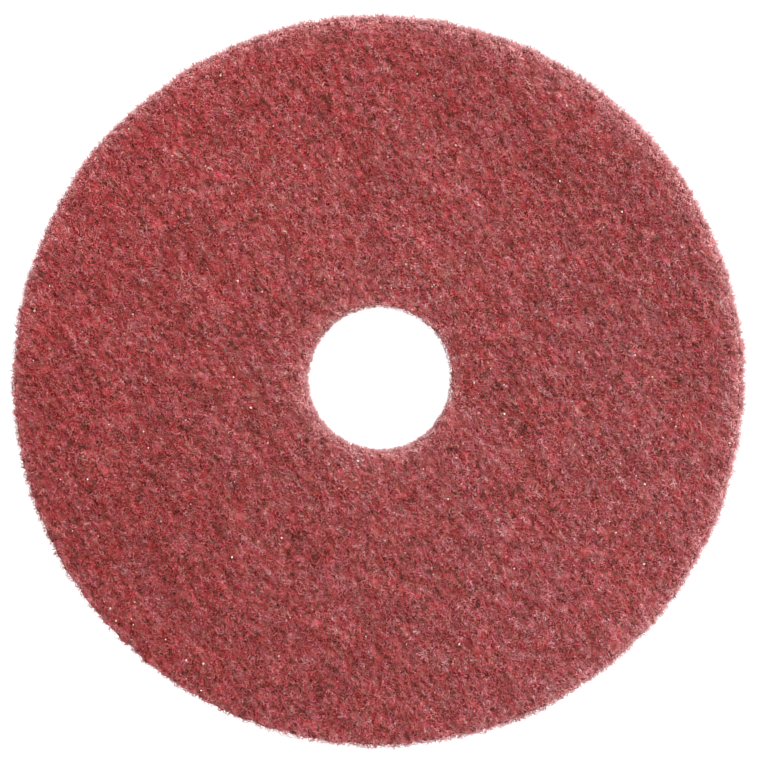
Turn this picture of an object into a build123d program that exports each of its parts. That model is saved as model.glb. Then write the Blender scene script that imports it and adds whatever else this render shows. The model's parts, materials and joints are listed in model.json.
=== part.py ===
from build123d import *
import os

os.makedirs("parts", exist_ok=True)

# Nonwoven abrasive floor pad for a rotary floor machine: a round disc with an
# open centre hole. Three bonded layers, stacked face to face.
# Frame: origin at the centre of the hole on the driver (back) face, +Z through
# the pad towards the working face. Millimetres.

# ---- driving dimensions ------------------------------------------------------
pad_diameter = 432.0            # 17 in pad
centre_hole_diameter = 85.0     # clears the centre lock of a pad driver
pad_thickness = 20.0
working_face_thickness = 4.0    # dense, grit-charged zone
driver_face_thickness = 2.5     # resin-bonded back skin
working_rim_radius = 2.4        # soft outer rim of the working face
driver_rim_radius = 1.4         # soft outer rim of the driver face

core_thickness = pad_thickness - working_face_thickness - driver_face_thickness
pad_radius = pad_diameter / 2
centre_hole_radius = centre_hole_diameter / 2
core_bottom = driver_face_thickness
working_face_bottom = driver_face_thickness + core_thickness

# ---- driver face layer: thin back skin that the pad driver grips -------------
with BuildPart() as driver_face_layer:
    with BuildSketch(Plane.XY):
        Circle(pad_radius)
        Circle(centre_hole_radius, mode=Mode.SUBTRACT)
    extrude(amount=driver_face_thickness)
    back_edges = driver_face_layer.edges().filter_by(GeomType.CIRCLE).group_by(Axis.Z)[0]
    fillet(back_edges.sort_by(SortBy.RADIUS)[-1], radius=driver_rim_radius)
driver_face_layer.part.label = "driver_face_layer"
export_step(driver_face_layer.part, "parts/driver_face_layer.step")

# ---- core web: lofty crimped-fibre web, most of the thickness ----------------
with BuildPart() as core_web:
    with BuildSketch(Plane.XY.offset(core_bottom)):
        Circle(pad_radius)
        Circle(centre_hole_radius, mode=Mode.SUBTRACT)
    extrude(amount=core_thickness)
core_web.part.label = "core_web"
export_step(core_web.part, "parts/core_web.step")

# ---- working face layer: grit-charged face that touches the floor ------------
with BuildPart() as working_face_layer:
    with BuildSketch(Plane.XY.offset(working_face_bottom)):
        Circle(pad_radius)
        Circle(centre_hole_radius, mode=Mode.SUBTRACT)
    extrude(amount=working_face_thickness)
    front_edges = working_face_layer.edges().filter_by(GeomType.CIRCLE).group_by(Axis.Z)[-1]
    fillet(front_edges.sort_by(SortBy.RADIUS)[-1], radius=working_rim_radius)
working_face_layer.part.label = "working_face_layer"
export_step(working_face_layer.part, "parts/working_face_layer.step")
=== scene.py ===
import json
import math

import bpy
import numpy as np
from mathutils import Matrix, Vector


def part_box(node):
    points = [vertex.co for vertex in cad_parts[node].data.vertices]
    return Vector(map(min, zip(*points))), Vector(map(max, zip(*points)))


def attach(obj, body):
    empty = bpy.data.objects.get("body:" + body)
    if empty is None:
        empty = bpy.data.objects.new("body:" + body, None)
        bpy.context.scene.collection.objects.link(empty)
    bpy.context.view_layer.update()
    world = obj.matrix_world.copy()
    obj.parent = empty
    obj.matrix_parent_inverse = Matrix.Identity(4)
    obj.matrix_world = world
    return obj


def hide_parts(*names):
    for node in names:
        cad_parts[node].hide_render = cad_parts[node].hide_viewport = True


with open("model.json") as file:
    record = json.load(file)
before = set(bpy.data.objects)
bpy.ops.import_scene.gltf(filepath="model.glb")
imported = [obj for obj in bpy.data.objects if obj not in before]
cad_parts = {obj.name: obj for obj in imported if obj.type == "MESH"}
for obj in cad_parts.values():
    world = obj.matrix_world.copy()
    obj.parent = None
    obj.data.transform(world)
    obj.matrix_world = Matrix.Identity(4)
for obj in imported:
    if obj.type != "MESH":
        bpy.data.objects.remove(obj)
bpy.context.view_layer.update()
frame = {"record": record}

scene = bpy.context.scene
scene.view_settings.view_transform = "Standard"
scene.view_settings.look = "None"
scene.view_settings.exposure = 0.0
scene.view_settings.gamma = 1.0

# ---------------------------------------------------------------- sizes, in metres
MM = 0.001
drv_lo, drv_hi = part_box("driver_face_layer")
core_lo, core_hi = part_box("core_web")
wrk_lo, wrk_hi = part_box("working_face_layer")
R_OUT = (wrk_hi.x - wrk_lo.x) / 2 / 0.99995
R_OUT = round(R_OUT, 4)
bore = next(m for m in frame["record"]["mounts"] if m["name"] == "centre_hole")
R_IN = bore["dims"]["r_mm"] * MM
Z_BOT, Z_TOP = drv_lo.z, wrk_hi.z
Z_CORE0, Z_CORE1 = core_lo.z, core_hi.z
# the disc is die-cut a little off the hole's centre
CUT_X, CUT_Y = -1.23 * MM, -2.44 * MM
# the web is carded: its fibres and its uneven areas lie more one way than the other
GRAIN = math.radians(128)
SEED = 20317


# ---------------------------------------------------------------- noise helpers
def smooth_field(seed, count, wavelength, spread=0.45):
    """A band of random plane waves: a smooth, repeatable 2-D or 3-D field with a mean of 0 and a deviation of 1."""
    rng = np.random.default_rng(seed)
    d = rng.normal(size=(count, 3))
    d /= np.linalg.norm(d, axis=1)[:, None]
    k = 2 * math.pi / (wavelength * np.exp(rng.normal(0, spread, count)))
    phase = rng.uniform(0, 2 * math.pi, count)
    waves = d * k[:, None]

    def field(p):
        p = np.asarray(p, float)
        out = np.zeros(p.shape[:-1])
        for w, f in zip(waves, phase):
            out += np.sin(p @ w + f)
        return out * math.sqrt(2.0 / count)

    return field


lumps = smooth_field(SEED + 1, 30, 8.0 * MM)
swell = smooth_field(SEED + 2, 18, 55.0 * MM)
tufts = smooth_field(SEED + 3, 26, 3.6 * MM)
rim_wave = smooth_field(SEED + 4, 20, 70.0 * MM)
rim_nick = smooth_field(SEED + 5, 24, 9.0 * MM)


def outer_radius(x, y):
    """The cut edge's radius from the origin, in the direction of (x, y)."""
    a = np.arctan2(y, x)
    p = np.stack([np.cos(a) * R_OUT, np.sin(a) * R_OUT, np.zeros_like(a)], -1)
    r = R_OUT - 0.43 * MM + 0.28 * MM * rim_wave(p) + 0.25 * MM * rim_nick(p)
    return r + CUT_X * np.cos(a) + CUT_Y * np.sin(a)


def inner_radius(x, y):
    a = np.arctan2(y, x)
    p = np.stack([np.cos(a) * R_IN, np.sin(a) * R_IN, np.full_like(a, 0.05)], -1)
    worn = 0.46 * MM - 0.66 * MM * np.cos(a - math.radians(45))
    return R_IN + 0.12 * MM + worn + 0.20 * MM * rim_wave(p) + 0.12 * MM * rim_nick(p)


def rim_drop(x, y, soft_out, soft_in):
    """How far the face falls away as it nears the two cut edges."""
    r = np.hypot(x, y)
    to_out = np.clip(outer_radius(x, y) - r, 0, soft_out)
    to_in = np.clip(r - inner_radius(x, y), 0, soft_in)
    a = soft_out - np.sqrt(np.maximum(soft_out**2 - (soft_out - to_out) ** 2, 0))
    b = soft_in - np.sqrt(np.maximum(soft_in**2 - (soft_in - to_in) ** 2, 0))
    return np.maximum(a, b)


def top_z(x, y):
    p = np.stack([x, y, np.zeros_like(x)], -1)
    return (
        Z_TOP
        - 0.25 * MM
        + 0.20 * MM * swell(p)
        + 0.30 * MM * lumps(p)
        - 0.75 * rim_drop(x, y, 5.0 * MM, 4.0 * MM)
    )


def bottom_z(x, y):
    p = np.stack([x, y, np.full_like(x, 0.4)], -1)
    return Z_BOT + 0.12 * MM + 0.12 * MM * np.abs(lumps(p)) + 0.8 * rim_drop(x, y, 2.4 * MM, 1.8 * MM)


# ---------------------------------------------------------------- mesh helpers
def make_object(name, co, faces_flat, loop_starts, loop_totals, smooth=True):
    me = bpy.data.meshes.new(name)
    me.vertices.add(len(co))
    me.vertices.foreach_set("co", np.asarray(co, np.float32).ravel())
    me.loops.add(len(faces_flat))
    me.loops.foreach_set("vertex_index", np.asarray(faces_flat, np.int32))
    me.polygons.add(len(loop_starts))
    me.polygons.foreach_set("loop_start", np.asarray(loop_starts, np.int32))
    me.polygons.foreach_set("loop_total", np.asarray(loop_totals, np.int32))
    me.polygons.foreach_set("use_smooth", np.full(len(loop_starts), smooth))
    me.update(calc_edges=True)
    me.validate()
    ob = bpy.data.objects.new(name, me)
    scene.collection.objects.link(ob)
    return ob


def edge_paleness_and_painted_light(co):
    """0 on the open face, up to 1.5 at the cut edges, which are paler all round. On top of that is painted light: the
    edges that face the key light, the disc's upper right side and the hole's lower left side, are painted palest.
    """
    x, y, z = co[..., 0], co[..., 1], co[..., 2]
    r = np.hypot(x, y)
    a = np.arctan2(y, x)
    # painted light: edges facing the key light at the upper right are made paler
    toward_key_light = np.cos(a - math.radians(45))
    to_out = np.clip((outer_radius(x, y) - r) / MM, 0, None)
    to_in = np.clip((r - inner_radius(x, y)) / MM, 0, None)
    out = (0.66 + 0.58 * toward_key_light) * np.exp(-to_out / 4.9) + (0.82 + 0.14 * toward_key_light) * np.exp(-to_out / 1.8)
    inn = (0.76 - 0.38 * toward_key_light) * np.exp(-to_in / 5.2) + (0.58 - 0.34 * toward_key_light) * np.exp(-to_in / 1.8)
    # down the walls the paleness and the painted light fade to 0.4 of what they are near the top
    high = np.clip((z - (Z_TOP - 5.5 * MM)) / (4.0 * MM), 0, 1)
    return np.clip((out + inn) * (0.40 + 0.60 * high * high * (3 - 2 * high)), 0, 1.5)


def add_attribute(ob, name, values):
    att = ob.data.attributes.new(name, "FLOAT", "POINT")
    att.data.foreach_set("value", np.asarray(values, np.float32).ravel())


def ring_shell(name, sectors, profile, displace):
    """A closed ring: profile is a closed loop of (place across from hole to edge, height 0 to 1, side) that displace turns into points."""
    n = len(profile)
    a = np.linspace(0, 2 * math.pi, sectors, endpoint=False)
    co = np.zeros((sectors, n, 3))
    for j, item in enumerate(profile):
        co[:, j] = displace(a, item)
    i0 = np.arange(sectors)[:, None]
    j0 = np.arange(n)[None, :]
    i1, j1 = (i0 + 1) % sectors, (j0 + 1) % n
    quads = np.stack([i0 * n + j0, i1 * n + j0, i1 * n + j1, i0 * n + j1], -1).reshape(-1, 4)
    ob = make_object(
        name,
        co.reshape(-1, 3),
        quads.ravel(),
        np.arange(len(quads)) * 4,
        np.full(len(quads), 4),
    )
    add_attribute(ob, "rim", edge_paleness_and_painted_light(co))
    return ob


def layer_profile(across, up, z0, z1):
    """A closed loop round a layer's cross-section: bottom out, edge up, top in, hole down."""
    loop = []
    for t in np.linspace(0, 1, across, endpoint=False):
        loop.append((t, z0, "bottom"))
    for t in np.linspace(0, 1, up, endpoint=False):
        loop.append((1.0, z0 + (z1 - z0) * t, "edge"))
    for t in np.linspace(1, 0, across, endpoint=False):
        loop.append((t, z1, "top"))
    for t in np.linspace(1, 0, up, endpoint=False):
        loop.append((0.0, z0 + (z1 - z0) * t, "hole"))
    return loop


SECT = 640


def place_layer(inset, kind):
    """Turns a profile item into points. inset is how far the matted body sits inside the fibres that cover it."""

    def displace(a, item):
        t, z, side = item
        cx, cy = np.cos(a), np.sin(a)
        ro, ri = outer_radius(cx, cy) - inset, inner_radius(cx, cy) + inset
        r = ri + (ro - ri) * t
        x, y = r * cx, r * cy
        zz = np.full_like(x, z)
        p = np.stack([x, y, zz], -1)
        if side == "top" and kind == "working":
            zz = top_z(x, y) - inset + 0.55 * MM * tufts(p) * min(1.0, 8 * t * (1 - t) + 0.2)
        elif side == "bottom" and kind == "driver":
            zz = bottom_z(x, y) + 0.6 * inset + 0.30 * MM * np.abs(tufts(p))
        elif side in ("edge", "hole"):
            push = 0.45 * MM * tufts(p) + 0.3 * MM * lumps(p)
            if kind == "working":
                soft = np.clip((z - Z_CORE1) / (Z_TOP - Z_CORE1), 0, 1) ** 2
                push = push - 1.5 * MM * soft
                zz = zz - 1.0 * MM * soft - inset * soft
            if kind == "driver":
                soft = np.clip((Z_CORE0 - z) / (Z_CORE0 - Z_BOT), 0, 1) ** 2
                push = push - 0.9 * MM * soft
                zz = zz + 0.6 * MM * soft
            rr = r + push * (1 if side == "edge" else -1)
            x, y = rr * cx, rr * cy
        return np.stack([x, y, zz], -1)

    return displace


acr = 72
working_mat = ring_shell(
    "working_face_mat", SECT, layer_profile(acr, 5, Z_CORE1, Z_TOP), place_layer(1.6 * MM, "working")
)
core_mat = ring_shell(
    "core_web_mat", SECT, layer_profile(8, 10, Z_CORE0, Z_CORE1), place_layer(3.2 * MM, "core")
)
driver_mat = ring_shell(
    "driver_face_mat", SECT, layer_profile(acr * 3 // 4, 3, Z_BOT, Z_CORE0), place_layer(1.8 * MM, "driver")
)


# ---------------------------------------------------------------- fibres
def curl_paths(rng, start, heading, length, points, curl, wobble, lift):
    """Crimped fibre centre lines. They run mostly in a plane; each bends one way, then another, and rises and dips. All arguments but rng are arrays or numbers."""
    n = len(start)
    s = np.linspace(-0.5, 0.5, points)[None, :]
    L = length[:, None]
    k1 = curl[:, None] * rng.normal(0, 1, (n, 1))
    f2 = rng.uniform(0.6, 1.6, (n, 1)) * 2 * math.pi
    f3 = rng.uniform(1.8, 3.4, (n, 1)) * 2 * math.pi
    turn = (
        heading[:, None]
        + k1 * L * s
        + rng.uniform(0.3, 1.25, (n, 1)) * np.sin(f2 * s + rng.uniform(0, 6.28, (n, 1)))
        + rng.uniform(0.1, 0.55, (n, 1)) * np.sin(f3 * s + rng.uniform(0, 6.28, (n, 1)))
    )
    step = L / (points - 1)
    dx, dy = np.cos(turn) * step, np.sin(turn) * step
    x = np.cumsum(dx, 1)
    y = np.cumsum(dy, 1)
    x += start[:, :1] - x[:, points // 2][:, None]
    y += start[:, 1:2] - y[:, points // 2][:, None]
    g1 = rng.uniform(0.7, 1.6, (n, 1)) * 2 * math.pi
    g2 = rng.uniform(1.8, 3.2, (n, 1)) * 2 * math.pi
    z = (
        wobble[:, None] * np.sin(g1 * s + rng.uniform(0, 6.28, (n, 1)))
        + 0.4 * wobble[:, None] * np.sin(g2 * s + rng.uniform(0, 6.28, (n, 1)))
        + lift[:, None] * s
    )
    return x, y, z


def cut_to_disc(x, y, z, over_out, over_in):
    """Cuts each path where it first leaves the disc, and keeps the piece round its middle."""
    n, pts = x.shape
    r = np.hypot(x, y)
    inside = (r < outer_radius(x, y) + over_out[:, None]) & (r > inner_radius(x, y) - over_in[:, None])
    mid = pts // 2
    idx = np.arange(pts)[None, :]
    bad_hi = np.where(~inside & (idx > mid), idx, pts)
    bad_lo = np.where(~inside & (idx <= mid), idx, -1)
    hi = bad_hi.min(1) - 1
    lo = bad_lo.max(1) + 1
    keep = inside[:, mid] & (hi - lo >= 3)
    x, y, z, lo, hi = x[keep], y[keep], z[keep], lo[keep], hi[keep]
    t = lo[:, None] + (hi - lo)[:, None] * np.linspace(0, 1, pts)[None, :]
    i = np.clip(t.astype(int), 0, pts - 2)
    f = t - i
    rows = np.arange(len(x))[:, None]
    pick = lambda v: v[rows, i] * (1 - f) + v[rows, i + 1] * f
    return pick(x), pick(y), pick(z), keep


def tube_mesh(name, P, radius, shade, tint, seed, sides=3):
    """P: fibres x points x 3. Closed thin tubes with tapered, capped ends, and each fibre's shade as an attribute."""
    rng = np.random.default_rng(seed)
    n, pts, _ = P.shape
    T = np.gradient(P, axis=1)
    T /= np.maximum(np.linalg.norm(T, axis=2), 1e-12)[..., None]
    up = np.array([0.0, 0.0, 1.0]) + rng.normal(0, 0.15, (n, 1, 3))
    A = np.cross(T, up)
    A /= np.maximum(np.linalg.norm(A, axis=2), 1e-9)[..., None]
    B = np.cross(T, A)
    ph = rng.uniform(0, 6.28, (n, 1, 1))
    taper = np.ones(pts)
    taper[0] = taper[-1] = 0.42
    rad = radius[:, None] * taper[None, :] * (1 + 0.12 * rng.normal(0, 1, (n, pts)))
    co = np.zeros((n, pts, sides, 3), np.float32)
    for k in range(sides):
        ang = ph + 2 * math.pi * k / sides
        co[:, :, k] = P + rad[..., None] * (np.cos(ang) * A + np.sin(ang) * B)
    base = (np.arange(n) * pts * sides)[:, None, None]
    i = np.arange(pts - 1)[None, :, None]
    k = np.arange(sides)[None, None, :]
    k1 = (k + 1) % sides
    q = np.stack(
        [base + i * sides + k, base + i * sides + k1, base + (i + 1) * sides + k1, base + (i + 1) * sides + k], -1
    ).reshape(-1, 4)
    cap0 = (np.arange(n) * pts * sides)[:, None] + np.arange(sides)[::-1][None, :]
    cap1 = (np.arange(n) * pts * sides + (pts - 1) * sides)[:, None] + np.arange(sides)[None, :]
    caps = np.concatenate([cap0, cap1])
    flat = np.concatenate([q.ravel(), caps.ravel()])
    totals = np.concatenate([np.full(len(q), 4), np.full(len(caps), sides)])
    starts = np.concatenate([[0], np.cumsum(totals)[:-1]])
    ob = make_object(name, co.reshape(-1, 3), flat, starts, totals)
    add_attribute(ob, "shade", np.repeat(shade, pts * sides))
    add_attribute(ob, "tint", np.repeat(tint, pts * sides))
    add_attribute(ob, "rim", np.repeat(edge_paleness_and_painted_light(P)[..., None], sides, 2))
    return ob


def ring_points(rng, n, r0, r1):
    r = np.sqrt(rng.uniform(r0**2, r1**2, n))
    a = rng.uniform(0, 2 * math.pi, n)
    return np.stack([r * np.cos(a), r * np.sin(a)], 1)


PTS = 7
FACE_PTS = 6
share = 1.0


def face_fibres(name, seed, n, depth, depth_spread, radius, length, wobble, face="top", stand=0.0, curl=260.0, points=PTS):
    rng = np.random.default_rng(seed)
    n = int(n * share)
    start = ring_points(rng, n, R_IN - 1 * MM, R_OUT + 1 * MM)
    heading = rng.uniform(0, 2 * math.pi, n)
    heading = heading + 0.05 * np.sin(2 * (GRAIN - heading))
    ln = length * rng.uniform(0.6, 1.35, n)
    x, y, z = curl_paths(
        rng, start, heading, ln, points, np.full(n, curl), wobble * rng.uniform(0.5, 1.4, n), stand * rng.normal(0, 1, n)
    )
    over = rng.normal(-0.4, 0.9, n) * MM
    x, y, z, keep = cut_to_disc(x, y, z, np.minimum(over, 1.6 * MM), np.minimum(over - 1.0 * MM, 0.3 * MM))
    m = keep.sum()
    d = np.abs(depth + depth_spread * rng.normal(0, 1, n)[keep])[:, None]
    rad = radius * np.exp(rng.normal(0, 0.18, n))[keep]
    if face == "top":
        zz = top_z(x, y) - d + z
        zz = np.minimum(zz, Z_TOP + 0.9 * MM)
        zz = np.maximum(zz, Z_CORE1)
    else:
        zz = bottom_z(x, y) + d + z
        zz = np.maximum(zz, Z_BOT + rad[:, None])
    P = np.stack([x, y, zz], -1)
    return tube_mesh(name, P, rad, rng.uniform(0, 1, m), rng.uniform(0, 1, m), seed + 7)


def wall_fibres(name, seed, n, inner, radius, length, depth):
    """Fibres of the web seen at a cut wall: laid nearly level, curling in and out of the wall, cut off where they would pass it."""
    rng = np.random.default_rng(seed)
    n = int(n * share)
    a = rng.uniform(0, 2 * math.pi, n)
    ref = R_IN if inner else R_OUT
    d = np.abs(rng.normal(0, 1, n)) * depth + 0.4 * MM
    r = ref + d if inner else ref - d
    start = np.stack([r * np.cos(a), r * np.sin(a)], 1)
    along = a + math.pi / 2 + rng.normal(0, 0.55, n)
    heading = np.where(rng.uniform(0, 1, n) < 0.72, along, rng.uniform(0, 2 * math.pi, n))
    ln = length * rng.uniform(0.6, 1.35, n)
    x, y, z = curl_paths(
        rng, start, heading, ln, PTS, np.full(n, 170.0), 1.2 * MM * rng.uniform(0.3, 1.4, n), 3.0 * MM * rng.normal(0, 1, n)
    )
    over = rng.normal(0.1, 0.8, n) * MM
    x, y, z, keep = cut_to_disc(x, y, z, np.minimum(over, 1.9 * MM), np.minimum(over - 1.6 * MM, 0.3 * MM))
    z0 = rng.uniform(Z_BOT + 0.8 * MM, Z_TOP - 1.6 * MM, n)[keep][:, None]
    zz = z0 + z
    zz = np.minimum(zz, top_z(x, y) - 0.1 * MM)
    zz = np.maximum(zz, bottom_z(x, y) + 0.1 * MM)
    P = np.stack([x, y, zz], -1)
    rad = radius * np.exp(rng.normal(0, 0.18, n))[keep]
    m = keep.sum()
    return tube_mesh(name, P, rad, rng.uniform(0, 1, m), rng.uniform(0, 1, m), seed + 7)


fibres = {}
for i, (depth, spread, rad) in enumerate(
    ((1.10, 0.28, 0.34), (0.89, 0.26, 0.33), (0.71, 0.24, 0.32), (0.56, 0.22, 0.31), (0.43, 0.20, 0.30), (0.31, 0.18, 0.29), (0.20, 0.17, 0.27))
):
    name = "working_fibres_%d" % (i + 1)
    fibres[name] = face_fibres(
        name, 101 + i, 6180, depth * MM, spread * MM, rad * MM, 5.2 * MM, 0.45 * MM, curl=320.0, points=FACE_PTS
    )
for i, (depth, spread, rad) in enumerate(((0.85, 0.3, 0.28), (0.55, 0.25, 0.26), (0.22, 0.2, 0.23))):
    name = "driver_fibres_%d" % (i + 1)
    fibres[name] = face_fibres(name, 201 + i, 3950, depth * MM, spread * MM, rad * MM, 10 * MM, 0.30 * MM, face="bottom", curl=180.0)
fibres["edge_fibres_1"] = wall_fibres("edge_fibres_1", 301, 3950, False, 0.25 * MM, 9 * MM, 1.6 * MM)
fibres["edge_fibres_2"] = wall_fibres("edge_fibres_2", 302, 3950, False, 0.20 * MM, 7 * MM, 0.8 * MM)
fibres["hole_fibres"] = wall_fibres("hole_fibres", 303, 1900, True, 0.22 * MM, 7 * MM, 1.0 * MM)


def edge_hairs(name, seed, n, inner, radius, length):
    """Short fine ends of cut fibres that stand out of a cut wall, most of them outward."""
    rng = np.random.default_rng(seed)
    n = int(n * share)
    a = rng.uniform(0, 2 * math.pi, n)
    # fewer where the edge was cut more cleanly; the same factor also darkens the hairs there, painted shade on the side
    # away from the key light
    rough = 0.51 - 0.47 * np.cos(a - math.radians(45)) if inner else 0.55 + 0.45 * np.cos(a - math.radians(45))
    keep = rng.uniform(0, 1, n) < rough
    a, rough = a[keep], rough[keep]
    n = len(a)
    ref = inner_radius(np.cos(a), np.sin(a)) if inner else outer_radius(np.cos(a), np.sin(a))
    back = 1.3 * MM * rng.uniform(0, 1, n) ** 1.2 + 0.6 * MM
    r = ref + back if inner else ref - back
    lean = rng.normal(0, 0.6, n)
    out = a + (math.pi if inner else 0) + lean
    ln = length * rng.uniform(0.45, 1.3, n)
    fine = 13
    s = np.linspace(0, 1, fine)[None, :]
    turn = out[:, None] + rng.normal(0, 0.9, (n, 1)) * s + 0.4 * np.sin(6.28 * s + rng.uniform(0, 6.28, (n, 1)))
    step = (ln / (fine - 1))[:, None]
    x = (r * np.cos(a))[:, None] + np.cumsum(np.cos(turn) * step, 1)
    y = (r * np.sin(a))[:, None] + np.cumsum(np.sin(turn) * step, 1)
    z_hi = top_z(r * np.cos(a), r * np.sin(a)) - 0.2 * MM
    z0 = Z_BOT + 1.2 * MM + (z_hi - Z_BOT - 1.2 * MM) * rng.uniform(0, 1, n) ** 0.7
    z = z0[:, None] + rng.normal(0, 0.35, (n, 1)) * ln[:, None] * s
    rr = np.hypot(x, y)
    cap = 5.2 * MM * rng.uniform(0, 1, (n, 1)) * (0.25 + 0.75 * rough[:, None])
    inside = rr > inner_radius(x, y) - 0.6 * cap if inner else rr < outer_radius(x, y) + cap
    last = np.where(inside, fine, np.arange(fine)[None, :]).min(1) - 1
    last = np.where(last >= fine - 1, fine - 1, last)
    keep = last >= 3
    x, y, z, rough, last = x[keep], y[keep], z[keep], rough[keep], last[keep]
    n = len(rough)
    t = last[:, None] * np.linspace(0, 1, 5)[None, :]
    i = np.clip(t.astype(int), 0, fine - 2)
    f = t - i
    rows = np.arange(n)[:, None]
    x, y, z = (v[rows, i] * (1 - f) + v[rows, i + 1] * f for v in (x, y, z))
    z = np.clip(z, Z_BOT + 0.3 * MM, Z_TOP - 0.3 * MM)
    P = np.stack([x, y, z], -1)
    rad = radius * np.exp(rng.normal(0, 0.2, n))
    # the shade is scaled by rough: painted shade where the edge faces away from the key light
    return tube_mesh(name, P, rad, rng.uniform(0.2, 1, n) * rough, rng.uniform(0, 1, n), seed + 7)


fibres["edge_hairs_1"] = edge_hairs("edge_hairs_1", 351, 14000, False, 0.15 * MM, 4.6 * MM)
fibres["edge_hairs_2"] = edge_hairs("edge_hairs_2", 353, 15000, False, 0.13 * MM, 5.4 * MM)
fibres["hole_hairs"] = edge_hairs("hole_hairs", 352, 8000, True, 0.12 * MM, 3.8 * MM)


# ---------------------------------------------------------------- grit
def grit(name, seed, n, size, spread, sink, soft):
    """Small grains stuck on the working face: squashed, uneven octahedra, sharp where bare and soft where the resin covers them."""
    rng = np.random.default_rng(seed)
    n = int(n)
    p = ring_points(rng, n, R_IN + 1.5 * MM, R_OUT - 2.5 * MM)
    s = size * np.exp(rng.normal(0, spread, n))
    base = np.array([[1, 0, 0], [-1, 0, 0], [0, 1, 0], [0, -1, 0], [0, 0, 1], [0, 0, -1]], float)
    v = base[None] * rng.uniform(0.6, 1.25, (n, 6, 1)) + rng.normal(0, 0.12, (n, 6, 3))
    ang = rng.uniform(0, 6.28, (n, 3))
    ca, sa = np.cos(ang), np.sin(ang)
    for ax, (i, j) in enumerate(((1, 2), (0, 2), (0, 1))):
        vi = v[..., i] * ca[:, ax, None] - v[..., j] * sa[:, ax, None]
        vj = v[..., i] * sa[:, ax, None] + v[..., j] * ca[:, ax, None]
        v[..., i], v[..., j] = vi, vj
    v *= s[:, None, None] / 2
    z = top_z(p[:, 0], p[:, 1]) - sink * rng.uniform(0, 1, n)
    co = v + np.stack([p[:, 0], p[:, 1], z], -1)[:, None]
    tri = np.array([[0, 2, 4], [2, 1, 4], [1, 3, 4], [3, 0, 4], [2, 0, 5], [1, 2, 5], [3, 1, 5], [0, 3, 5]])
    f = (np.arange(n) * 6)[:, None, None] + tri[None]
    f = f.reshape(-1, 3)
    ob = make_object(name, co.reshape(-1, 3), f.ravel(), np.arange(len(f)) * 3, np.full(len(f), 3), smooth=soft)
    add_attribute(ob, "shade", np.repeat(rng.uniform(0, 1, n), 6))
    add_attribute(ob, "tint", np.repeat(rng.uniform(0, 1, n), 6))
    add_attribute(ob, "rim", edge_paleness_and_painted_light(co))
    return ob


pale_grit = grit("pale_grit", 401, 210, 1.15 * MM, 0.28, 0.25 * MM, False)
resin_grit_1 = grit("resin_grit_1", 402, 24000 * share, 1.35 * MM, 0.25, 1.0 * MM, True)
resin_grit_2 = grit("resin_grit_2", 403, 22000 * share, 1.15 * MM, 0.25, 0.6 * MM, True)


# ---------------------------------------------------------------- materials
def nodes_of(mat):
    mat.use_nodes = True
    nt = mat.node_tree
    nt.nodes.clear()
    out = nt.nodes.new("ShaderNodeOutputMaterial")
    bsdf = nt.nodes.new("ShaderNodeBsdfPrincipled")
    nt.links.new(bsdf.outputs[0], out.inputs[0])
    return nt, bsdf


def ramp(nt, stops, interp="LINEAR"):
    n = nt.nodes.new("ShaderNodeValToRGB")
    n.color_ramp.interpolation = interp
    el = n.color_ramp.elements
    while len(el) > 1:
        el.remove(el[-1])
    el[0].position, el[0].color = stops[0][0], (*stops[0][1], 1)
    for pos, col in stops[1:]:
        e = el.new(pos)
        e.color = (*col, 1)
    return n


def noise_node(nt, coords, scale, detail=2.0, rough=0.5, dist=0.0):
    n = nt.nodes.new("ShaderNodeTexNoise")
    n.inputs["Scale"].default_value = scale
    n.inputs["Detail"].default_value = detail
    n.inputs["Roughness"].default_value = rough
    n.inputs["Distortion"].default_value = dist
    nt.links.new(coords, n.inputs["Vector"])
    return n


def math_node(nt, op, a, b, clamp=False):
    n = nt.nodes.new("ShaderNodeMath")
    n.operation = op
    n.use_clamp = clamp
    for i, v in enumerate((a, b)):
        if isinstance(v, (int, float)):
            n.inputs[i].default_value = v
        else:
            nt.links.new(v, n.inputs[i])
    return n.outputs[0]


def map_range(nt, value, a, b, c, d):
    n = nt.nodes.new("ShaderNodeMapRange")
    nt.links.new(value, n.inputs["Value"])
    for k, v in (("From Min", a), ("From Max", b), ("To Min", c), ("To Max", d)):
        n.inputs[k].default_value = v
    return n.outputs["Result"]


def mix_colour(nt, blend, fac, a, b):
    n = nt.nodes.new("ShaderNodeMix")
    n.data_type = "RGBA"
    n.blend_type = blend
    for sock, v in ((n.inputs[0], fac), (n.inputs[6], a), (n.inputs[7], b)):
        if isinstance(v, (int, float)):
            sock.default_value = v
        elif isinstance(v, tuple):
            sock.default_value = (*v, 1)
        else:
            nt.links.new(v, sock)
    return n.outputs[2]


# colours of the resin-coated web from its darkest, which also paint the shade of its pores, to its palest strands, once
# rich and once dusty
RICH = [
    (0.00, (0.205, 0.0100, 0.0105)),
    (0.20, (0.385, 0.0262, 0.0305)),
    (0.50, (0.520, 0.0568, 0.0735)),
    (0.80, (0.615, 0.1370, 0.1635)),
    (1.00, (0.740, 0.3200, 0.3400)),
]
DUSTY = [
    (0.00, (0.150, 0.0260, 0.0180)),
    (0.20, (0.255, 0.0590, 0.0480)),
    (0.50, (0.370, 0.1180, 0.1045)),
    (0.80, (0.500, 0.2220, 0.2090)),
    (1.00, (0.730, 0.4350, 0.4150)),
]


def attribute(nt, name):
    att = nt.nodes.new("ShaderNodeAttribute")
    att.attribute_name = name
    return att.outputs["Fac"]


def laid(nt, co, stretch):
    """Coordinates that stretch a texture along the web's grain and narrow it across."""
    n = nt.nodes.new("ShaderNodeMapping")
    n.vector_type = "TEXTURE"
    n.inputs["Rotation"].default_value = (0.0, 0.0, GRAIN)
    n.inputs["Scale"].default_value = (stretch, 1 / stretch, 1.0)
    nt.links.new(co, n.inputs["Vector"])
    return n.outputs[0]


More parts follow.
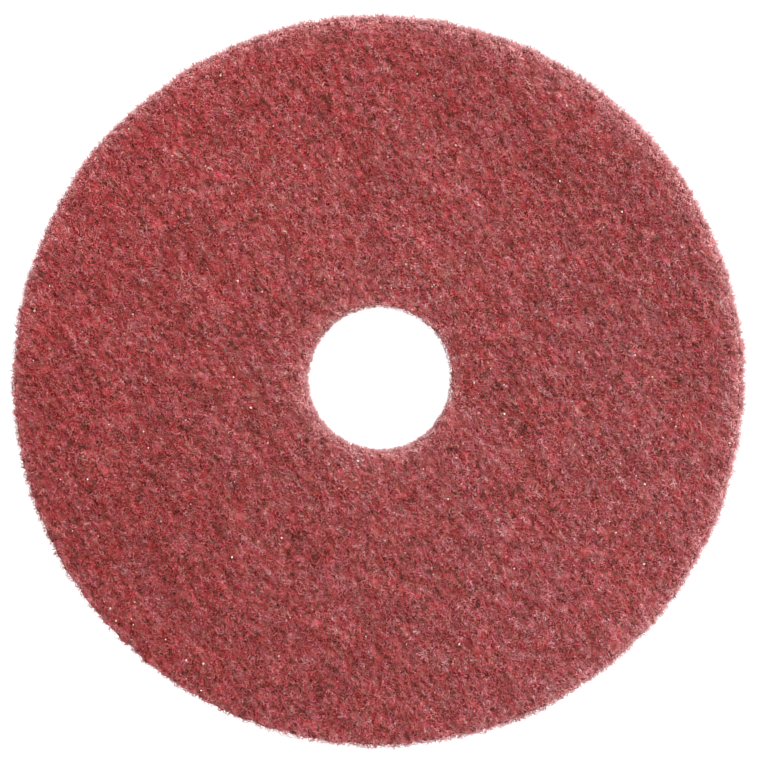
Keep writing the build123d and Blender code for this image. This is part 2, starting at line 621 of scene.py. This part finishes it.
def web_colour(nt, co, level, tint, painted_fill_gain=1.0, fine=0.128, middle=0.150, broad=0.044):
    """The shared colour of everything in the web: clumps of resin and grit of about a millimetre, blotches of several,
    and broad mottling, all fixed in the disc. Painted into it too are the shade of deep pores, light at the cut edges
    and a sheen towards the lower right.
    """
    small, web = laid(nt, co, 1.12), laid(nt, co, 1.58)
    clump = noise_node(nt, small, 520.0, 1.0, 0.5).outputs[0]
    v = math_node(nt, "ADD", level, map_range(nt, clump, 0.35, 0.65, -fine, fine))
    blotch = noise_node(nt, web, 170.0, 1.0, 0.5).outputs[0]
    v = math_node(nt, "ADD", v, map_range(nt, blotch, 0.35, 0.65, -middle, middle))
    patch = noise_node(nt, small, 300.0, 0.0, 0.5).outputs[0]
    v = math_node(nt, "ADD", v, map_range(nt, patch, 0.35, 0.65, -0.85 * fine, 0.85 * fine))
    mottle = noise_node(nt, web, 34.0, 2.0, 0.5).outputs[0]
    v = math_node(nt, "ADD", v, map_range(nt, mottle, 0.35, 0.65, -broad, broad))
    shift = nt.nodes.new("ShaderNodeVectorMath")
    shift.operation = "ADD"
    nt.links.new(web, shift.inputs[0])
    shift.inputs[1].default_value = (3.1, 1.7, 0.9)
    shift_small = nt.nodes.new("ShaderNodeVectorMath")
    shift_small.operation = "ADD"
    nt.links.new(small, shift_small.inputs[0])
    shift_small.inputs[1].default_value = (2.3, 0.6, 1.4)
    # scattered dark spots: painted shade of deep pores, given a dustier hue below; the other end of the same noise
    # gives a few lighter spots
    pore_shade_noise = noise_node(nt, shift_small.outputs[0], 330.0, 0.0, 0.5).outputs[0]
    v = math_node(nt, "ADD", v, map_range(nt, pore_shade_noise, 0.63, 0.76, 0.0, -0.36))
    v = math_node(nt, "ADD", v, map_range(nt, pore_shade_noise, 0.24, 0.35, 0.14, 0.0))
    # edge paleness and painted edge light, broken up by the blotch, clump and pore noise
    rim = attribute(nt, "rim")
    rim = math_node(nt, "MULTIPLY", rim, map_range(nt, blotch, 0.35, 0.65, 0.55, 1.45))
    rim = math_node(nt, "MULTIPLY", rim, map_range(nt, clump, 0.35, 0.65, 0.40, 1.60))
    rim = math_node(nt, "MULTIPLY", rim, map_range(nt, pore_shade_noise, 0.56, 0.72, 1.0, 0.35))
    v = math_node(nt, "ADD", v, map_range(nt, rim, 0, 1.5, 0.0, 0.20))
    # painted sheen: towards the lower right the colour turns dustier, and below bluer, as a haze of reflected light on
    # the fibres would make it; towards +X it is painted a little lighter too
    side = nt.nodes.new("ShaderNodeVectorMath")
    side.operation = "DOT_PRODUCT"
    nt.links.new(co, side.inputs[0])
    side.inputs[1].default_value = (0.88, -0.48, 0.0)
    painted_sheen_light = nt.nodes.new("ShaderNodeVectorMath")
    painted_sheen_light.operation = "DOT_PRODUCT"
    nt.links.new(co, painted_sheen_light.inputs[0])
    painted_sheen_light.inputs[1].default_value = (0.98, 0.20, 0.0)
    hue = noise_node(nt, shift_small.outputs[0], 520.0, 1.0, 0.5).outputs[0]
    flock = noise_node(nt, shift.outputs[0], 150.0, 1.0, 0.5).outputs[0]
    wide = noise_node(nt, shift.outputs[0], 45.0, 1.0, 0.5).outputs[0]
    t = map_range(nt, hue, 0.35, 0.65, 0.18, 0.70)
    t = math_node(nt, "ADD", t, map_range(nt, pore_shade_noise, 0.62, 0.74, 0.0, 0.8))
    t = math_node(nt, "ADD", t, map_range(nt, pore_shade_noise, 0.24, 0.35, 0.3, 0.0))
    t = math_node(nt, "ADD", t, map_range(nt, flock, 0.35, 0.65, -0.16, 0.16))
    t = math_node(nt, "ADD", t, map_range(nt, wide, 0.35, 0.65, -0.03, 0.03))
    t = math_node(nt, "ADD", t, map_range(nt, side.outputs["Value"], -0.2, 0.2, -0.10, 0.10))
    sep = nt.nodes.new("ShaderNodeSeparateXYZ")
    nt.links.new(co, sep.inputs[0])
    x, y = sep.outputs[0], sep.outputs[1]
    rr = math_node(nt, "ADD", math_node(nt, "MULTIPLY", x, x), math_node(nt, "MULTIPLY", y, y))
    t = math_node(nt, "ADD", t, map_range(nt, rr, 0.0, 0.0466, 0.031, -0.029))
    v = math_node(nt, "ADD", v, map_range(nt, painted_sheen_light.outputs["Value"], -0.2, 0.2, -0.038, 0.038))
    v = math_node(nt, "ADD", v, map_range(nt, rr, 0.0, 0.0466, 0.0182, -0.0168))
    cross = math_node(nt, "MULTIPLY", x, y)
    v = math_node(nt, "ADD", v, map_range(nt, cross, -0.03, 0.03, 0.021, -0.021))
    t = math_node(nt, "ADD", t, map_range(nt, tint, 0, 1, -0.09, 0.09), clamp=True)
    rich, dusty = ramp(nt, RICH), ramp(nt, DUSTY)
    nt.links.new(v, rich.inputs[0])
    nt.links.new(v, dusty.inputs[0])
    colour = mix_colour(nt, "MIX", t, rich.outputs[0], dusty.outputs[0])
    warm = noise_node(nt, shift.outputs[0], 300.0, 1.0, 0.5).outputs[0]
    cast = ramp(nt, [(0.38, (0.98, 0.95, 1.08)), (0.62, (0.98, 1.04, 0.94))])
    nt.links.new(warm, cast.inputs[0])
    colour = mix_colour(nt, "MULTIPLY", 1.0, colour, cast.outputs[0])
    # the web is unevenly dense in cloudy areas of a few centimetres; across the disc are two large gradients, the upper
    # right and lower left quarters darker, and lighter towards the upper right
    cloud = noise_node(nt, shift.outputs[0], 55.0, 1.0, 0.5).outputs[0]
    density_gradients_and_fill = map_range(nt, cloud, 0.35, 0.65, 0.945 * painted_fill_gain, 1.055 * painted_fill_gain)
    density_gradients_and_fill = math_node(nt, "MULTIPLY", density_gradients_and_fill, map_range(nt, cross, -0.03, 0.03, 1.064, 0.936))
    density_gradients_and_fill = math_node(nt, "MULTIPLY", density_gradients_and_fill, map_range(nt, math_node(nt, "ADD", x, y), -0.32, 0.32, 0.968, 1.032))
    colour = mix_colour(nt, "MULTIPLY", 1.0, colour, density_gradients_and_fill)
    # painted sheen: bluer towards the lower right, with broad random patches of it
    across = ramp(nt, [(0.0, (0.960, 0.955, 0.915)), (1.0, (0.960, 0.955, 0.99))])
    bluish = map_range(nt, side.outputs["Value"], -0.2, 0.2, 0.0, 1.0)
    bluish = math_node(nt, "ADD", bluish, map_range(nt, wide, 0.35, 0.65, -0.35, 0.35))
    nt.links.new(bluish, across.inputs[0])
    colour = mix_colour(nt, "MULTIPLY", 1.0, colour, across.outputs[0])
    # the cut edges are mixed towards a pale pink: paler edges, with painted light where they face the key light
    return mix_colour(nt, "MIX", map_range(nt, rim, 0, 1.5, 0.0, 0.82), colour, (0.82, 0.37, 0.375)), v


def fibre_material(name, low, high, painted_fill_gain=1.0, rough=0.62):
    """Resin-coated fibre: each fibre has its own shade between low and high."""
    mat = bpy.data.materials.new(name)
    nt, bsdf = nodes_of(mat)
    co = nt.nodes.new("ShaderNodeTexCoord").outputs["Object"]
    level = map_range(nt, attribute(nt, "shade"), 0, 1, low, high)
    colour, v = web_colour(nt, co, level, attribute(nt, "tint"), painted_fill_gain)
    nt.links.new(colour, bsdf.inputs["Base Color"])
    fine = noise_node(nt, co, 1500.0, 2.0, 0.6).outputs[0]
    nt.links.new(map_range(nt, fine, 0.3, 0.7, rough - 0.14, rough + 0.16), bsdf.inputs["Roughness"])
    bsdf.inputs["Specular IOR Level"].default_value = 0.35
    bump = nt.nodes.new("ShaderNodeBump")
    bump.inputs["Strength"].default_value = 0.35
    bump.inputs["Distance"].default_value = 0.0001
    nt.links.new(noise_node(nt, co, 3200.0, 2.0, 0.6).outputs[0], bump.inputs["Height"])
    nt.links.new(bump.outputs[0], bsdf.inputs["Normal"])
    return mat


def mat_body_material(name, low, high, painted_fill_gain=1.0):
    """The matted web under the top fibres: lighter crossing strands, and painted shade in the dark pores between them.
    """
    mat = bpy.data.materials.new(name)
    nt, bsdf = nodes_of(mat)
    co = nt.nodes.new("ShaderNodeTexCoord").outputs["Object"]
    warp = noise_node(nt, co, 260.0, 2.0, 0.5)
    add = nt.nodes.new("ShaderNodeVectorMath")
    add.operation = "MULTIPLY_ADD"
    nt.links.new(warp.outputs["Color"], add.inputs[0])
    add.inputs[1].default_value = (0.004, 0.004, 0.004)
    nt.links.new(co, add.inputs[2])
    vor = nt.nodes.new("ShaderNodeTexVoronoi")
    vor.feature = "DISTANCE_TO_EDGE"
    vor.inputs["Scale"].default_value = 600.0
    nt.links.new(add.outputs[0], vor.inputs["Vector"])
    strand = map_range(nt, vor.outputs["Distance"], 0.0, 0.18, 1.0, 0.0)
    fine = noise_node(nt, co, 1500.0, 2.0, 0.6).outputs[0]
    level = map_range(nt, strand, 0, 1, low, high)
    colour, v = web_colour(nt, co, level, fine, painted_fill_gain)
    nt.links.new(colour, bsdf.inputs["Base Color"])
    nt.links.new(map_range(nt, fine, 0.3, 0.7, 0.65, 0.95), bsdf.inputs["Roughness"])
    bsdf.inputs["Specular IOR Level"].default_value = 0.25
    bump = nt.nodes.new("ShaderNodeBump")
    bump.inputs["Strength"].default_value = 0.8
    bump.inputs["Distance"].default_value = 0.0006
    h = math_node(nt, "ADD", strand, math_node(nt, "MULTIPLY", fine, 0.6))
    nt.links.new(h, bump.inputs["Height"])
    nt.links.new(bump.outputs[0], bsdf.inputs["Normal"])
    return mat


def pale_material(name, stops):
    mat = bpy.data.materials.new(name)
    nt, bsdf = nodes_of(mat)
    co = nt.nodes.new("ShaderNodeTexCoord").outputs["Object"]
    fine = noise_node(nt, co, 1800.0, 2.0, 0.6).outputs[0]
    v = math_node(nt, "ADD", attribute(nt, "shade"), map_range(nt, fine, 0.3, 0.7, -0.15, 0.15))
    cr = ramp(nt, stops)
    nt.links.new(v, cr.inputs[0])
    nt.links.new(cr.outputs[0], bsdf.inputs["Base Color"])
    nt.links.new(map_range(nt, fine, 0.3, 0.7, 0.25, 0.5), bsdf.inputs["Roughness"])
    bsdf.inputs["Specular IOR Level"].default_value = 0.6
    return mat


# the lowest and highest shade of each group's fibres. On the driver face and the walls the deeper groups get darker
# shades, painted shade of their depth; on the face the third number is a gain that paints the deep ones paler than the
# top ones, painted light against the shade they lie in
LEVELS = {
    "working_fibres_1": (0.43, 0.55, 1.26),
    "working_fibres_2": (0.43, 0.55, 1.20),
    "working_fibres_3": (0.44, 0.56, 1.14),
    "working_fibres_4": (0.45, 0.57, 1.08),
    "working_fibres_5": (0.46, 0.58, 1.02),
    "working_fibres_6": (0.46, 0.60, 0.97),
    "working_fibres_7": (0.46, 0.60, 0.93),
    "driver_fibres_1": (0.26, 0.52),
    "driver_fibres_2": (0.32, 0.60),
    "driver_fibres_3": (0.40, 0.70),
    "edge_fibres_1": (0.40, 0.75),
    "edge_fibres_2": (0.55, 0.95),
    "hole_fibres": (0.50, 0.90),
    "edge_hairs_1": (0.35, 1.00),
    "edge_hairs_2": (0.35, 1.00),
    "hole_hairs": (0.35, 1.00),
}
for name, ob in fibres.items():
    ob.data.materials.append(fibre_material("resin_" + name, *LEVELS[name]))
# the matted body under the working face and the grains get the painted fill gain, largest for the deepest: painted
# light against the shade they lie in
working_mat.data.materials.append(mat_body_material("matted_working_face", 0.25, 0.50, 1.3))
core_mat.data.materials.append(mat_body_material("matted_core", 0.20, 0.60))
driver_mat.data.materials.append(mat_body_material("matted_driver_face", 0.10, 0.45))
resin_grit_1.data.materials.append(fibre_material("resin_grains_deep", 0.36, 0.52, 1.12, 0.7))
resin_grit_2.data.materials.append(fibre_material("resin_grains_top", 0.42, 0.60, 1.02, 0.7))
pale_grit.data.materials.append(
    pale_material("pale_mineral", [(0.0, (0.52, 0.33, 0.27)), (0.5, (0.68, 0.54, 0.44)), (1.0, (0.86, 0.80, 0.69))])
)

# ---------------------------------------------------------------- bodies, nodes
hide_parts("working_face_layer")
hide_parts("core_web")
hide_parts("driver_face_layer")
for ob, slot in (
    (working_mat, "working_face"),
    (core_mat, "core"),
    (driver_mat, "driver_face"),
    (pale_grit, "working_face"),
    (resin_grit_1, "working_face"),
    (resin_grit_2, "working_face"),
):
    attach(ob, "root")
for name, ob in fibres.items():
    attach(ob, "root")

# ---------------------------------------------------------------- floor, light, camera
n = 24
g = np.linspace(-4, 4, n)
gx, gy = np.meshgrid(g, g, indexing="ij")
fco = np.stack([gx.ravel(), gy.ravel(), np.full(n * n, -0.0004)], -1)
fi = (np.arange(n - 1)[:, None] * n + np.arange(n - 1)[None, :]).ravel()
fq = np.stack([fi, fi + n, fi + n + 1, fi + 1], -1)
floor = make_object("studio_floor", fco, fq.ravel(), np.arange(len(fq)) * 4, np.full(len(fq), 4))
fm = bpy.data.materials.new("studio_floor_white")
nt, bsdf = nodes_of(fm)
fc = nt.nodes.new("ShaderNodeTexCoord").outputs["Object"]
fr = ramp(nt, [(0.0, (0.50, 0.50, 0.50)), (1.0, (0.54, 0.54, 0.54))])
nt.links.new(noise_node(nt, fc, 3.0).outputs[0], fr.inputs[0])
nt.links.new(fr.outputs[0], bsdf.inputs["Base Color"])
bsdf.inputs["Roughness"].default_value = 0.9
bsdf.inputs["Specular IOR Level"].default_value = 0.0
bsdf.inputs["Emission Color"].default_value = (1, 1, 1, 1)
bsdf.inputs["Emission Strength"].default_value = 0.75
floor.data.materials.append(fm)

world = bpy.data.worlds.new("studio")
scene.world = world
world.use_nodes = True
bg = world.node_tree.nodes.get("Background") or world.node_tree.nodes.new("ShaderNodeBackground")
bg.inputs["Color"].default_value = (1, 1, 1, 1)
bg.inputs["Strength"].default_value = 1.13


def sun(name, azimuth, elevation, strength, spread):
    """A far, soft light. Azimuth is counted from +X towards +Y."""
    data = bpy.data.lights.new(name, "SUN")
    data.energy = strength
    data.angle = math.radians(spread)
    ob = bpy.data.objects.new(name, data)
    scene.collection.objects.link(ob)
    a, e = math.radians(azimuth), math.radians(elevation)
    d = Vector((math.cos(a) * math.cos(e), math.sin(a) * math.cos(e), math.sin(e)))
    ob.location = d * 2
    ob.rotation_euler = d.to_track_quat("Z", "Y").to_euler()
    return ob


sun("key_upper_right", 42, 42, 1.95, 60)

FRAME_W = 760
PIX = 0.5910 * MM           # one picture element on the plane of the pad's face
DIST = 1.80
cam_data = bpy.data.cameras.new("camera")
cam_data.sensor_width = 36
cam_data.sensor_fit = "HORIZONTAL"
cam_data.lens = 36 * DIST / (FRAME_W * PIX)
cam_data.clip_start = 0.05
cam_data.clip_end = 30
cam = bpy.data.objects.new("camera", cam_data)
scene.collection.objects.link(cam)
aim = Vector((0.30 * MM, -0.92 * MM, Z_TOP - 1 * MM))
cam.location = aim + Vector((0, 0, DIST))        # square-on, with +Y up in the picture
scene.camera = cam
